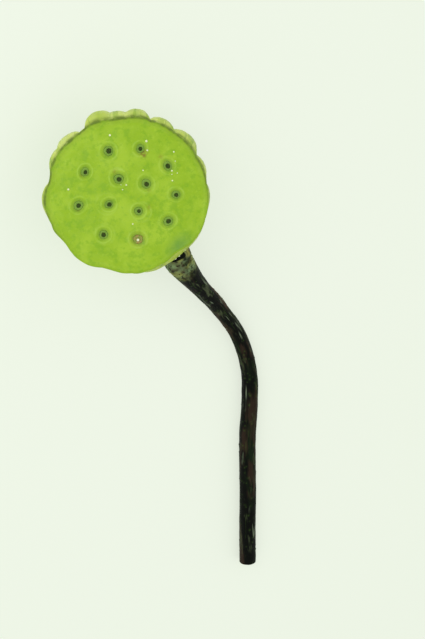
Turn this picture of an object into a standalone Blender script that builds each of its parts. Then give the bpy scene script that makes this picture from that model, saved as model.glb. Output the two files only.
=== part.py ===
"""Fresh lotus seed pod with its cut stem, lying on a flat surface.

The pod is three kinds of piece: the fleshy cup-shaped receptacle, the thirteen nutlets that sit
in its pockets, and the stalk. Sizes are in metres, +Z is up, and the object rests on Z = 0.

The receptacle is built in its own axes. Their origin is the middle of the flat face, +Z points
out of the face, and +X points to the side that the neck bends to. A share runs along the bent
middle line of the cup, from 0 at the face to 1 at the neck.
"""
import math

import bmesh
import bpy
from mathutils import Matrix, Vector
from mathutils.geometry import interpolate_bezier

MM = 0.001

# Receptacle
RIM_RADIUS = 42.3 * MM
FACE_DOME = 1.6 * MM          # how far the middle of the face stands above its rim
RIM_ROUND = 1.1 * MM          # rounding of the rim's edge
NECK_RADIUS = 8.7 * MM
NECK_OFFSET = 40.0 * MM       # the neck's middle, sideways from the middle of the face
NECK_DEPTH = 64.0 * MM        # and below the face
NECK_BEND = math.radians(59)  # turn of the middle line between face and neck
WALL_FALL = 2.2               # power of the cup's narrowing towards the neck
BEND_ONSET = 1.6              # power that keeps most of the bend for the narrow end
SHOULDER_SHIFT = 2.45 * MM    # the shoulder bulges to one side of the rim
SHOULDER_SIDE = math.radians(143)

# Lobes of the shoulder: direction and half width in degrees, height as a share of the rim radius
LOBES = (
    (-5, 12, 0.000), (20, 12, 0.045), (44, 13, 0.040), (67, 11, 0.045), (89, 13.5, 0.085),
    (110, 10.5, 0.060), (131, 11, 0.080), (146, 11, 0.070), (158.5, 12, 0.112),
    (188, 12, 0.075), (202, 10.5, 0.060), (235, 14, 0.055), (262, 13, 0.045),
    (287, 12.5, 0.050), (310, 12, 0.045), (333, 12, 0.045),
)
LOBE_ROUNDNESS = 0.6          # below 1 the valleys between the lobes are sharp
LOBE_AVERAGE = 0.045
VALLEY_HEIGHT = -0.03         # of the notches where two lobes don't meet
RIM_FOLLOWS_LOBES = 0.15      # how much of the lobes shows as ripples of the rim

# Long waves of the rim: direction and half width in degrees, height in millimetres
RIM_WAVES_MM = (
    (-2, 14, -1.8), (28, 18, 0.4), (148, 26, -1.3), (183, 13, -0.9), (217, 7, -0.5),
    (234, 16, 0.8), (265, 13, -1.6), (303, 16, -1.3), (326, 9, 0.5), (343, 8, -0.5),
)

# Nutlets and the pockets that hold them: places on the face
SEED_PLACES_MM = (
    (-13.5, 21.7), (2.7, 26.4), (16.9, 19.5), (-23.8, 8.4), (-9.4, 2.6), (2.2, 11.7),
    (24.6, 7.1), (-23.9, -8.1), (-2.8, -10.2), (10.2, -1.0), (21.0, -11.1),
    (-13.1, -22.5), (7.1, -22.9),
)
SEED_RADIUS = 5.6 * MM
SEED_LENGTH = 14.0 * MM
SEED_DEPTH = 2.4 * MM         # top of the nutlet below the rim plane
TIP_RADIUS = 1.4 * MM         # the dry stigma that shows in the mouth of the pocket
TIP_TOP = -0.2 * MM           # its top, against the rim plane
POCKET_GAP = 0.4 * MM
MOUTH_RADIUS = 2.7 * MM

# Stalk
STEM_RADIUS = 4.7 * MM
COLLAR_RADIUS = 8.4 * MM
COLLAR_START = 2.6 * MM       # the collar runs on straight from the neck for this length
JOINT_GAP = 0.3 * MM          # between the receptacle's neck and the collar
STEM_POINT_SPACING = 5.0 * MM

# The pod as it lies: how the head is turned, leant back and rolled round its own axis, and where
# the middle of the face is. With these the wall and the stalk carry the pod without rolling.
HEAD_HEADING = math.radians(-42.0)
FACE_LEAN = math.radians(27.4)
HEAD_ROLL = math.radians(-6.0)
FACE_PLACE_MM = (-40.65, 109.15)

# Route of the stalk after the collar's start, in millimetres: place, height, radius
STEM_ROUTE_MM = (
    (8.0, 57.2, 19.4, 8.5), (11.6, 52.4, 19.3, 7.8), (15.6, 47.6, 18.6, 6.8), (19.2, 43.6, 17.7, 6.1),
    (23.6, 39.0, 16.4, 5.5), (28.3, 34.2, 14.7, 5.2), (33.3, 29.5, 12.8, 5.1), (38.2, 24.5, 10.8, 4.9),
    (42.8, 19.1, 8.9, 4.7), (51.3, 9.3, 5.9, 4.7), (56.8, 1.0, 4.9, 4.75), (61.2, -8.3, 4.8, 4.8),
    (64.2, -17.4, 4.85, 4.85), (66.2, -26.5, 4.9, 4.9), (67.6, -44.6, 5.05, 5.05), (67.9, -62.8, 5.1, 5.1),
    (69.5, -81.4, 5.1, 5.1), (71.4, -100.2, 5.1, 5.1), (72.8, -119.2, 5.1, 5.1), (75.4, -148.4, 5.1, 5.1),
)

# Mesh fineness
RING_STEPS = 84
WALL_SHARES = (
    0.03, 0.07, 0.12, 0.18, 0.25, 0.33, 0.41, 0.49, 0.57, 0.65, 0.73, 0.80, 0.87, 0.94, 1.0,
)
FACE_RINGS = (0.30, 0.62, 0.88)
TURNED_STEPS = 12
SPINE_STEPS = 400

# Colours: red, green, blue, alpha
FLESH_GREEN = (0.42, 0.62, 0.06, 1.0)
STALK_GREEN = (0.020, 0.030, 0.016, 1.0)
NUTLET_GREEN = (0.20, 0.30, 0.05, 1.0)


def clear_scene():
    for obj in list(bpy.data.objects):
        bpy.data.objects.remove(obj, do_unlink=True)


def new_collection(name):
    collection = bpy.data.collections.new(name)
    bpy.context.scene.collection.children.link(collection)
    return collection


def new_material(name, colour, roughness):
    material = bpy.data.materials.new(name)
    material.use_nodes = True
    shader = material.node_tree.nodes["Principled BSDF"]
    shader.inputs["Base Color"].default_value = colour
    shader.inputs["Roughness"].default_value = roughness
    shader.inputs["Metallic"].default_value = 0.0
    return material


def add_object(name, data, collection, material):
    obj = bpy.data.objects.new(name, data)
    collection.objects.link(obj)
    if not data.materials:
        data.materials.append(material)
    return obj


def mesh_from_bmesh(name, bm):
    mesh = bpy.data.meshes.new(name)
    bmesh.ops.recalc_face_normals(bm, faces=bm.faces)
    bm.to_mesh(mesh)
    bm.free()
    mesh.shade_smooth()
    mesh.set_sharp_from_angle(angle=math.radians(40))
    return mesh


# ---------------------------------------------------------------- shape of the receptacle

def rim_radius(angle):
    """The face isn't quite round: wider across one way, waved, and rippled by the lobes."""
    across = math.cos(2 * angle - math.radians(97))
    flats = math.cos(3 * angle - math.radians(89))
    ripple = RIM_FOLLOWS_LOBES * (lobe_height(angle) - LOBE_AVERAGE)
    return RIM_RADIUS * (1 + 0.017 * across + 0.008 * flats + ripple) + rim_wave(angle)


def rim_wave(angle):
    """Sum of the rim's long waves at an angle."""
    total = 0.0
    for middle, half_width, height in RIM_WAVES_MM:
        away = abs((math.degrees(angle) - middle + 180) % 360 - 180) / half_width
        if away < 1:
            total += height * MM * math.cos(math.pi / 2 * away) ** 2
    return total


def lobe_height(angle):
    """Height of the tallest lobe over an angle, as a share of the rim radius."""
    tallest = VALLEY_HEIGHT
    for middle, half_width, height in LOBES:
        away = (math.degrees(angle) - middle + 180) % 360 - 180
        inside = 1 - (away / half_width) ** 2
        if inside > 0:
            rise = (height - VALLEY_HEIGHT) * inside ** LOBE_ROUNDNESS
            tallest = max(tallest, VALLEY_HEIGHT + rise)
    return tallest


def shoulder_strength(share):
    """0 at the face and at the neck, 1 a little way below the rim."""
    return max(0.0, math.sin(math.pi * share ** 0.365)) ** 2.4


def spine_points():
    """Middle line of the cup in its XZ plane: straight down at first, bent over at the neck."""
    neck = Vector((NECK_OFFSET, 0, -NECK_DEPTH))
    reach = neck.length
    first_handle = Vector((0, 0, -0.40 * reach))
    last_handle = neck - 0.30 * reach * neck_direction()
    return interpolate_bezier(Vector((0, 0, 0)), first_handle, last_handle, neck, SPINE_STEPS)


def neck_direction():
    return Vector((math.sin(NECK_BEND), 0, -math.cos(NECK_BEND)))


def point_along(points, share):
    """Place at a share of a line's length."""
    lengths = [(end - start).length for start, end in zip(points, points[1:])]
    left = share * sum(lengths)
    for start, end, length in zip(points, points[1:], lengths):
        if left <= length or end is points[-1]:
            return start.lerp(end, left / length)
        left -= length


def wall_ring(spine, share):
    """One closed section of the wall. It turns with the bend and ends square to the neck."""
    middle = point_along(spine, share)
    turn = NECK_BEND * share ** BEND_ONSET
    side = Vector((math.cos(turn), 0, math.sin(turn)))
    narrowing = NECK_RADIUS + (RIM_RADIUS - NECK_RADIUS) * (1 - share ** WALL_FALL)
    strength = shoulder_strength(share)
    outline_kept = max(0.0, 1 - share / 0.9)
    ring = []
    for step in range(RING_STEPS):
        angle = math.tau * step / RING_STEPS
        outline = 1 + (rim_radius(angle) / RIM_RADIUS - 1) * outline_kept
        radius = narrowing * outline + strength * lobe_height(angle) * RIM_RADIUS
        shift = strength * SHOULDER_SHIFT
        across = radius * math.cos(angle) + shift * math.cos(SHOULDER_SIDE)
        up = radius * math.sin(angle) + shift * math.sin(SHOULDER_SIDE)
        ring.append(middle + across * side + Vector((0, up, 0)))
    return ring


def face_height(share):
    """Height of the slightly domed face at a share of its radius."""
    return FACE_DOME * (1 - share ** 2)


def face_ring(inset, height):
    ring = []
    for step in range(RING_STEPS):
        angle = math.tau * step / RING_STEPS
        radius = rim_radius(angle) - inset
        ring.append(Vector((radius * math.cos(angle), radius * math.sin(angle), height)))
    return ring


def receptacle_mesh():
    """A loft through unlike sections: domed face, rounded rim, lobed shoulder, bent cup."""
    spine = spine_points()
    rings = []
    for share in FACE_RINGS:
        rings.append(face_ring((1 - share) * RIM_RADIUS, face_height(share)))
    rings.append(face_ring(RIM_ROUND, 0.0))
    rings.append(face_ring(0.3 * RIM_ROUND, -0.3 * RIM_ROUND))
    rings.append(face_ring(0.0, -RIM_ROUND))
    rings.extend(wall_ring(spine, share) for share in WALL_SHARES)

    bm = bmesh.new()
    loops = [[bm.verts.new(point) for point in ring] for ring in rings]
    for upper, lower in zip(loops, loops[1:]):
        for step in range(RING_STEPS):
            after = (step + 1) % RING_STEPS
            bm.faces.new((upper[step], lower[step], lower[after], upper[after]))
    top = bm.verts.new((0, 0, FACE_DOME))
    for step in range(RING_STEPS):
        bm.faces.new((top, loops[0][step], loops[0][(step + 1) % RING_STEPS]))
    bm.faces.new(loops[-1])
    return mesh_from_bmesh("receptacle", bm)


# ---------------------------------------------------------------- nutlets and pockets

def nutlet_profile(radius, top, length):
    """Half outline of an egg on the Z axis, from its top pole to its bottom pole."""
    points = []
    for step in range(9):
        turn = math.pi * step / 8
        points.append((radius * math.sin(turn), top - length * (1 - math.cos(turn)) / 2))
    return points


def seed_profile():
    """The egg, with the stigma standing on its top."""
    egg = nutlet_profile(SEED_RADIUS, -SEED_DEPTH, SEED_LENGTH)
    tip_foot = egg[1][1] + 0.25 * MM
    tip = [(0.0, TIP_TOP), (TIP_RADIUS, TIP_TOP - 0.3 * MM), (0.75 * TIP_RADIUS, tip_foot)]
    return tip + egg[1:]


def pocket_profile():
    """The egg grown by the gap, with a round mouth that runs out past the face."""
    egg = nutlet_profile(SEED_RADIUS + POCKET_GAP, POCKET_GAP - SEED_DEPTH,
                         SEED_LENGTH + 2 * POCKET_GAP)
    past_face = 2 * FACE_DOME
    mouth = [(0.0, past_face), (MOUTH_RADIUS, past_face), (MOUTH_RADIUS, egg[1][1] + 0.1 * MM)]
    return mouth + egg[2:]


def turned_object(name, profile, collection, material):
    """A profile in the XZ plane, turned round Z by a Screw modifier."""
    bm = bmesh.new()
    verts = [bm.verts.new((radius, 0, height)) for radius, height in profile]
    for upper, lower in zip(verts, verts[1:]):
        bm.edges.new((upper, lower))
    mesh = bpy.data.meshes.new(name)
    bm.to_mesh(mesh)
    bm.free()
    obj = add_object(name, mesh, collection, material)
    screw = obj.modifiers.new("turn", "SCREW")
    screw.axis = "Z"
    screw.steps = TURNED_STEPS
    screw.render_steps = TURNED_STEPS
    screw.use_merge_vertices = True
    screw.merge_threshold = 0.00001
    screw.use_smooth_shade = True
    return obj


def add_repeats(names, first, places, parent):
    """Stand copies of a turned object on the face, the first one included."""
    for number, (name, place) in enumerate(zip(names, places)):
        obj = first if number == 0 else first.copy()
        if number:
            first.users_collection[0].objects.link(obj)
        obj.name = name
        obj.parent = parent
        obj.location = (place[0] * MM, place[1] * MM, dome_at(place))


def dome_at(place):
    return face_height(math.hypot(*place) * MM / RIM_RADIUS)


# ---------------------------------------------------------------- stalk

def smooth_route(knots):
    """Points at even spacing on a Catmull-Rom curve through the knots (x, y, z, radius)."""
    padded = [2 * knots[0] - knots[1]] + knots + [2 * knots[-1] - knots[-2]]
    points = []
    for before, start, end, after in zip(padded, padded[1:], padded[2:], padded[3:]):
        steps = max(1, round((end - start).length / STEM_POINT_SPACING))
        for step in range(steps):
            t = step / steps
            points.append(0.5 * (2 * start + (end - before) * t
                                 + (2 * before - 5 * start + 4 * end - after) * t ** 2
                                 + (3 * start - before - 3 * end + after) * t ** 3))
    return points + [knots[-1]]


def stem_knots(head_matrix):
    """The collar runs straight on from the neck, then the route comes down to the surface."""
    neck = head_matrix @ Vector((NECK_OFFSET, 0, -NECK_DEPTH))
    along = head_matrix.to_3x3() @ neck_direction()
    knots = []
    for run in (JOINT_GAP, JOINT_GAP + COLLAR_START):
        knots.append(Vector((*(neck + along * run), COLLAR_RADIUS)))
    knots.extend(MM * Vector(point) for point in STEM_ROUTE_MM)
    return knots


def add_stem(head_matrix, collection, material):
    curve = bpy.data.curves.new("stem", "CURVE")
    curve.dimensions = "3D"
    curve.bevel_depth = STEM_RADIUS
    curve.bevel_resolution = 4
    curve.use_fill_caps = True
    route = smooth_route(stem_knots(head_matrix))
    spline = curve.splines.new("POLY")
    spline.points.add(len(route) - 1)
    for point, knot in zip(spline.points, route):
        point.co = (knot[0], knot[1], knot[2], 1.0)
        point.radius = knot[3] / STEM_RADIUS
    return add_object("stem", curve, collection, material)


# ---------------------------------------------------------------- assembly

def head_placement(mesh):
    """Lay the head down: lean the face back from the neck and rest the wall on Z = 0."""
    turn = Matrix.Rotation(HEAD_HEADING, 4, "Z") @ Matrix.Rotation(-FACE_LEAN, 4, "Y")
    turn = turn @ Matrix.Rotation(HEAD_ROLL, 4, "Z")
    height = -min((turn @ vertex.co).z for vertex in mesh.vertices)
    place = Vector((FACE_PLACE_MM[0] * MM, FACE_PLACE_MM[1] * MM, height))
    return Matrix.Translation(place) @ turn


def world_points(obj, depsgraph):
    shape = obj.evaluated_get(depsgraph)
    points = [shape.matrix_world @ vertex.co for vertex in shape.to_mesh().vertices]
    shape.to_mesh_clear()
    return points


def centre_on_origin(head, receptacle, stem):
    """Move the pod so that the origin is under the middle of its box, at its lowest point."""
    depsgraph = bpy.context.evaluated_depsgraph_get()
    points = world_points(receptacle, depsgraph) + world_points(stem, depsgraph)
    low = Vector(min(point[axis] for point in points) for axis in range(3))
    high = Vector(max(point[axis] for point in points) for axis in range(3))
    shift = Matrix.Translation((-(low.x + high.x) / 2, -(low.y + high.y) / 2, -low.z))
    head.matrix_world = shift @ head.matrix_world
    stem.matrix_world = shift @ stem.matrix_world


def build():
    clear_scene()
    pod = new_collection("lotus_pod")
    cutters = new_collection("pocket_cutters")
    flesh = new_material("flesh", FLESH_GREEN, 0.45)
    stalk = new_material("stalk", STALK_GREEN, 0.6)
    nutlet = new_material("nutlet", NUTLET_GREEN, 0.4)

    mesh = receptacle_mesh()
    head = bpy.data.objects.new("head_axes", None)
    pod.objects.link(head)
    head.matrix_world = head_placement(mesh)

    receptacle = add_object("receptacle", mesh, pod, flesh)
    receptacle.parent = head

    seed = turned_object("seed_01", seed_profile(), pod, nutlet)
    seed_names = [f"seed_{number + 1:02d}" for number in range(len(SEED_PLACES_MM))]
    add_repeats(seed_names, seed, SEED_PLACES_MM, head)

    cutter = turned_object("pocket_01", pocket_profile(), cutters, flesh)
    cutter_names = [f"pocket_{number + 1:02d}" for number in range(len(SEED_PLACES_MM))]
    add_repeats(cutter_names, cutter, SEED_PLACES_MM, head)
    for obj in cutters.objects:
        obj.hide_render = True
        obj.display_type = "WIRE"

    cut = receptacle.modifiers.new("pockets", "BOOLEAN")
    cut.operation = "DIFFERENCE"
    cut.operand_type = "COLLECTION"
    cut.collection = cutters
    cut.solver = "EXACT"

    stem = add_stem(head.matrix_world, pod, stalk)
    centre_on_origin(head, receptacle, stem)


build()
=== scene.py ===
"""Looks of the fresh lotus seed pod: flesh, nutlets, stalk and dew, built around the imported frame.

The head is modelled in its own axes, as the CAD is: the origin is the middle of the flat face,
+Z points out of the face and +X to the side that the neck bends to. A share runs along the bent
middle line of the cup, from 0 at the face to 1 at the neck. Lengths are in metres.
"""

import math
import random

import bmesh
import bpy
import numpy as np
from mathutils import Matrix, Vector, noise
from mathutils.geometry import delaunay_2d_cdt, interpolate_bezier


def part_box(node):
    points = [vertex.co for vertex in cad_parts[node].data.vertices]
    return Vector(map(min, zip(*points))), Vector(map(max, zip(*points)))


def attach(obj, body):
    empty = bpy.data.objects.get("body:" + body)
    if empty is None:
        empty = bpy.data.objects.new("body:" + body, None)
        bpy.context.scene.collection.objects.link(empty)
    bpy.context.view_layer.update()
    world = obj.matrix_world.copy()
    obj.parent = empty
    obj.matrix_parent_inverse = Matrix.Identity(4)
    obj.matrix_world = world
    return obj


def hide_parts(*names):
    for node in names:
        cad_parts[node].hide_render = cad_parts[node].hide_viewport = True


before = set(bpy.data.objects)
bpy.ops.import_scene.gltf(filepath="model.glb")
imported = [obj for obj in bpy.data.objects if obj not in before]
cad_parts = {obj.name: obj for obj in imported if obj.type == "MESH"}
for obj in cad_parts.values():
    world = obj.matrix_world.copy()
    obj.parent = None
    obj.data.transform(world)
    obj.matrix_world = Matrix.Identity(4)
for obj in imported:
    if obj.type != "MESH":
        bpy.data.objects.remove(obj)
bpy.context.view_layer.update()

MM = 0.001

# ---------------- shape of the CAD pod

RIM_RADIUS = 42.3 * MM
FACE_DOME = 1.6 * MM
RIM_ROUND = 1.1 * MM
NECK_RADIUS = 8.7 * MM
NECK_OFFSET = 40.0 * MM
NECK_DEPTH = 64.0 * MM
NECK_BEND = math.radians(59)
WALL_FALL = 2.2
BEND_ONSET = 1.6
SHOULDER_SHIFT = 2.45 * MM
SHOULDER_SIDE = math.radians(143)

# Lobes of the shoulder: direction and half width in degrees, height as a share of the rim radius
LOBES = (
    (-5, 12, 0.000), (20, 12, 0.045), (44, 13, 0.040), (67, 11, 0.045), (89, 13.5, 0.085),
    (110, 10.5, 0.060), (131, 11, 0.080), (146, 11, 0.070), (158.5, 12, 0.112),
    (188, 12, 0.075), (202, 10.5, 0.060), (235, 14, 0.055), (262, 13, 0.045),
    (287, 12.5, 0.050), (310, 12, 0.045), (333, 12, 0.045),
)
LOBE_ROUNDNESS = 0.6  # below 1 the valleys between the lobes are sharp
LOBE_AVERAGE = 0.045
VALLEY_HEIGHT = -0.03  # of the notches where two lobes don't meet
RIM_FOLLOWS_LOBES = 0.15  # how much of the lobes shows as ripples of the rim

# Long waves of the rim: direction and half width in degrees, height in millimetres
RIM_WAVES_MM = (
    (-2, 14, -1.8), (28, 18, 0.4), (148, 26, -1.3), (183, 13, -0.9), (217, 7, -0.5),
    (234, 16, 0.8), (265, 13, -1.6), (303, 16, -1.3), (326, 9, 0.5), (343, 8, -0.5),
)

SEED_PLACES_MM = (
    (-13.5, 21.7), (2.7, 26.4), (16.9, 19.5), (-23.8, 8.4), (-9.4, 2.6), (2.2, 11.7),
    (24.6, 7.1), (-23.9, -8.1), (-2.8, -10.2), (10.2, -1.0), (21.0, -11.1),
    (-13.1, -22.5), (7.1, -22.9),
)
SEED_RADIUS = 5.6 * MM
SEED_LENGTH = 14.0 * MM
SEED_DEPTH = 2.4 * MM
POCKET_GAP = 0.4 * MM

COLLAR_RADIUS = 8.4 * MM
COLLAR_START = 2.6 * MM
JOINT_GAP = 0.3 * MM

HEAD_HEADING = math.radians(-42.0)
FACE_LEAN = math.radians(27.4)
HEAD_ROLL = math.radians(-6.0)
FACE_PLACE_MM = (-40.65, 109.15)

STEM_ROUTE_MM = (
    (8.0, 57.2, 19.4, 8.5), (11.6, 52.4, 19.3, 7.8), (15.6, 47.6, 18.6, 6.8), (19.2, 43.6, 17.7, 6.1),
    (23.6, 39.0, 16.4, 5.5), (28.3, 34.2, 14.7, 5.2), (33.3, 29.5, 12.8, 5.1), (38.2, 24.5, 10.8, 4.9),
    (42.8, 19.1, 8.9, 4.7), (51.3, 9.3, 5.9, 4.7), (56.8, 1.0, 4.9, 4.75), (61.2, -8.3, 4.8, 4.8),
    (64.2, -17.4, 4.85, 4.85), (66.2, -26.5, 4.9, 4.9), (67.6, -44.6, 5.05, 5.05), (67.9, -62.8, 5.1, 5.1),
    (69.5, -81.4, 5.1, 5.1), (71.4, -100.2, 5.1, 5.1), (72.8, -119.2, 5.1, 5.1), (75.4, -148.4, 5.1, 5.1),
)

# ---------------- fineness of the meshes

RIM_STEPS = 432
WALL_RINGS = 136
FACE_SPACING = 0.62 * MM
MOUTH_STEPS = 48
SPINE_STEPS = 400

# ---------------- noise, ramps and angles

NOISE_STEP = Vector((13.7, 7.3, 3.1))  # from one noise pattern to the next


def noise_at(points, size, pattern):
    """Perlin noise, about -1 to 1, at points (n, 3), with features of a size."""
    offset = NOISE_STEP * (pattern + 1)
    return np.array([noise.noise(Vector(point) / size + offset) for point in points])


def smooth_step(value, low, high):
    """A soft ramp from 0 at low to 1 at high."""
    share = np.clip((value - low) / (high - low), 0, 1)
    return share * share * (3 - 2 * share)


def degrees_away(angle, middle):
    """Degrees from a middle direction to each angle, -180 to 180."""
    return (np.degrees(angle) - middle + 180) % 360 - 180


def even_turns(count):
    return np.arange(count) * math.tau / count


def bell(away, middle, width):
    return np.exp(-((away - middle) / width) ** 2)


def polar(radius, turn):
    """Flat places (n, 2) at a radius and at angles."""
    return np.column_stack([radius * np.cos(turn), radius * np.sin(turn)])


def at_height(flat, height):
    """Flat places (n, 2) lifted to a height, (n, 3)."""
    return np.column_stack([flat, np.broadcast_to(height, len(flat))])


def away_from(place, x, y):
    return np.hypot(x - place[0], y - place[1])


def lengths_along(line):
    """The length run at each point of a line."""
    return np.concatenate([[0], np.cumsum(np.linalg.norm(np.diff(line, axis=0), axis=1))])


def on_line(run, lengths, line):
    """The line's values where a length is run."""
    return np.stack([np.interp(run, lengths, column) for column in line.T], axis=-1)


# ---------------- formulas of the receptacle

RIM_OVAL, RIM_OVAL_TURN = 0.017, math.radians(97)
RIM_FLATS, RIM_FLATS_TURN = 0.008, math.radians(89)
SPINE_HANDLES = (0.40, 0.30)  # lengths of the curve's handles, against face to neck
SHOULDER_ONSET = 0.365  # the smaller, the nearer the shoulder is to the face
SHOULDER_FALL = 2.4
OUTLINE_END = 0.9  # from this share on, the cup is round


def lobe_height(angle):
    """Height of the tallest lobe over each angle, as a share of the rim radius."""
    tallest = np.full_like(angle, VALLEY_HEIGHT, float)
    for middle, half_width, height in LOBES:
        inside = np.clip(1 - (degrees_away(angle, middle) / half_width) ** 2, 0, None)
        rise = (height - VALLEY_HEIGHT) * inside ** LOBE_ROUNDNESS
        tallest = np.maximum(tallest, VALLEY_HEIGHT + rise)
    return tallest


def rim_wave(angle):
    """Sum of the rim's long waves at each angle."""
    total = np.zeros_like(angle)
    for middle, half_width, height in RIM_WAVES_MM:
        away = np.abs(degrees_away(angle, middle)) / half_width
        total += np.where(away < 1, height * MM * np.cos(math.pi / 2 * away) ** 2, 0)
    return total


def rim_radius(angle):
    across = RIM_OVAL * np.cos(2 * angle - RIM_OVAL_TURN)
    flats = RIM_FLATS * np.cos(3 * angle - RIM_FLATS_TURN)
    ripple = RIM_FOLLOWS_LOBES * (lobe_height(angle) - LOBE_AVERAGE)
    return RIM_RADIUS * (1 + across + flats + ripple) + rim_wave(angle)


def neck_direction():
    return Vector((math.sin(NECK_BEND), 0, -math.cos(NECK_BEND)))


def spine_at(share):
    """Places on the cup's middle line, (n, 3)."""
    neck = Vector((NECK_OFFSET, 0, -NECK_DEPTH))
    reach = neck.length
    first = Vector((0, 0, -SPINE_HANDLES[0] * reach))
    last = neck - SPINE_HANDLES[1] * reach * neck_direction()
    line = np.array(interpolate_bezier(Vector((0, 0, 0)), first, last, neck, SPINE_STEPS))
    lengths = lengths_along(line)
    return on_line(share * lengths[-1], lengths, line)


def wall_points(angle, share, sink=0.0):
    """The cup's outside at angles and shares, sunk inwards by a relief."""
    turn = NECK_BEND * share ** BEND_ONSET
    narrowing = NECK_RADIUS + (RIM_RADIUS - NECK_RADIUS) * (1 - share ** WALL_FALL)
    strength = np.clip(np.sin(math.pi * share ** SHOULDER_ONSET), 0, None) ** SHOULDER_FALL
    strength = strength * smooth_step(share, 0.004, 0.03)
    outline = 1 + (rim_radius(angle) / RIM_RADIUS - 1) * np.clip(1 - share / OUTLINE_END, 0, None)
    radius = narrowing * outline + strength * lobe_height(angle) * RIM_RADIUS - sink
    across = radius * np.cos(angle) + strength * SHOULDER_SHIFT * math.cos(SHOULDER_SIDE)
    up = radius * np.sin(angle) + strength * SHOULDER_SHIFT * math.sin(SHOULDER_SIDE)
    middle = spine_at(share)
    return np.stack([middle[..., 0] + across * np.cos(turn), up,
                     middle[..., 2] + across * np.sin(turn)], axis=-1)


# ---------------- where the head lies

def head_placement():
    """The head's turn, placed so that its plain wall fills the CAD receptacle's box."""
    turn = Matrix.Rotation(HEAD_HEADING, 4, "Z") @ Matrix.Rotation(-FACE_LEAN, 4, "Y")
    turn = turn @ Matrix.Rotation(HEAD_ROLL, 4, "Z")
    angle, share = np.meshgrid(np.linspace(0, math.tau, 361), np.linspace(0.02, 1, 120))
    plain = wall_points(angle, share).reshape(-1, 3) @ np.array(turn.to_3x3()).T
    low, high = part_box("receptacle")
    middle = (low + high) / 2 - Vector((plain.min(0) + plain.max(0)) / 2)
    return Matrix.Translation(middle) @ turn


HEAD = head_placement()


def to_row_frame(points):
    matrix = np.array(HEAD)
    return points @ matrix[:3, :3].T + matrix[:3, 3]


# ---------------- meshes

def add_object(name, data):
    made = bpy.data.objects.new(name, data)
    bpy.context.scene.collection.objects.link(made)
    return made


def new_piece(name, points, faces, attributes, material):
    """A smooth mesh object in the row frame, with named values on its points."""
    mesh = bpy.data.meshes.new(name)
    mesh.from_pydata(points.tolist(), [], faces)
    for key, values in attributes.items():
        values = np.asarray(values, np.float32)
        if values.ndim == 1:
            mesh.attributes.new(key, "FLOAT", "POINT").data.foreach_set("value", values)
        else:
            layer = mesh.attributes.new(key, "FLOAT_VECTOR", "POINT")
            layer.data.foreach_set("vector", values.ravel())
    bm = bmesh.new()
    bm.from_mesh(mesh)
    bmesh.ops.recalc_face_normals(bm, faces=bm.faces)
    bm.to_mesh(mesh)
    bm.free()
    mesh.shade_smooth()
    mesh.materials.append(material)
    return add_object(name, mesh)


def loft(loops):
    """Quads between closed rings of point numbers."""
    faces = []
    for upper, lower in zip(loops, loops[1:]):
        faces.extend(zip(upper, lower, lower[1:] + lower[:1], upper[1:] + upper[:1]))
    return faces


def fan(middle, ring):
    """Triangles from a middle point to a ring of point numbers."""
    return [(middle, point, after) for point, after in zip(ring, ring[1:] + ring[:1])]


class Rows:
    """Points laid down in rows, each with the values that its material reads."""

    def __init__(self, *keys):
        self.points = []
        self.values = {key: [] for key in ("grain", *keys)}
        self.count = 0

    def add(self, points, **values):
        """Take a row in and give back its point numbers. Grain is the place unless given."""
        self.points.append(points)
        for key, rows in self.values.items():
            if key == "grain":
                rows.append(values.get("grain", points))
            else:
                rows.append(np.broadcast_to(values.get(key, 0.0), len(points)))
        self.count += len(points)
        return list(range(self.count - len(points), self.count))

    def joined(self):
        points = np.concatenate(self.points)
        values = {key: np.concatenate(rows) for key, rows in self.values.items()}
        return points, dict(values, place=points)


# ---------------- receptacle: wall relief

# Deep furrows of the wall: direction and half width in degrees, shares they run between, depth
FURROWS = (
    (32, 6.0, 0.02, 0.72, 0.9), (78, 4.0, 0.02, 0.58, 0.5), (120, 4.5, 0.03, 0.60, 0.5),
    (175, 6.5, 0.03, 0.78, 0.9), (218, 7.5, 0.02, 0.84, 1.2), (249, 4.5, 0.02, 0.66, 0.7),
    (275, 6.5, 0.02, 0.80, 1.0), (299, 4.0, 0.02, 0.62, 0.6), (322, 7.5, 0.02, 0.82, 1.2),
)


def furrow_depth(angle, share):
    """How deep in the furrows a place is, as a share of the full depth, and the depth in metres."""
    strongest = np.zeros_like(angle)
    deepest = np.zeros_like(angle)
    for middle, half_width, start, end, depth in FURROWS:
        drift = 2.5 * np.sin(6 * share + middle) + 0.9 * np.sin(19 * share + 2 * middle)
        away = degrees_away(angle, middle + drift)
        taper = 1 - 0.55 * smooth_step(share, 0.1, end)
        across = bell(away, 0, 0.55 * half_width * taper)
        along = smooth_step(share, start, start + 0.14) * (1 - smooth_step(share, end - 0.45, end))
        strongest = np.maximum(strongest, across * along)
        deepest = np.maximum(deepest, depth * MM * across * along)
    return strongest, deepest


RIB_DEPTH = 0.11 * MM
DENT_DEPTH = 0.22 * MM
GRIT_DEPTH = 0.03 * MM


def wall_relief(angle, share):
    """Relief of the wall, all of it inwards: furrows, fine lengthwise ribs, soft dents."""
    strongest, deepest = furrow_depth(angle, share)
    flat_angle, flat_share = angle.ravel(), share.ravel()
    girth = 60 * MM * (1 - 0.6 * flat_share)
    around = at_height(polar(girth, flat_angle), 16 * MM * flat_share)
    ribs = noise_at(around, 2.2 * MM, 1) + 0.5 * noise_at(around, 1.0 * MM, 2)
    place = wall_points(flat_angle, flat_share)
    dents = noise_at(place, 9 * MM, 3)
    grit = noise_at(place, 1.6 * MM, 4)
    fade = smooth_step(flat_share, 0.0, 0.06)
    sink = RIB_DEPTH * (1 + ribs) + DENT_DEPTH * (1 + dents) + GRIT_DEPTH * (1 + grit)
    return strongest, deepest + (fade * np.clip(sink, 0, None)).reshape(angle.shape)


# ---------------- receptacle: face relief

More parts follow.
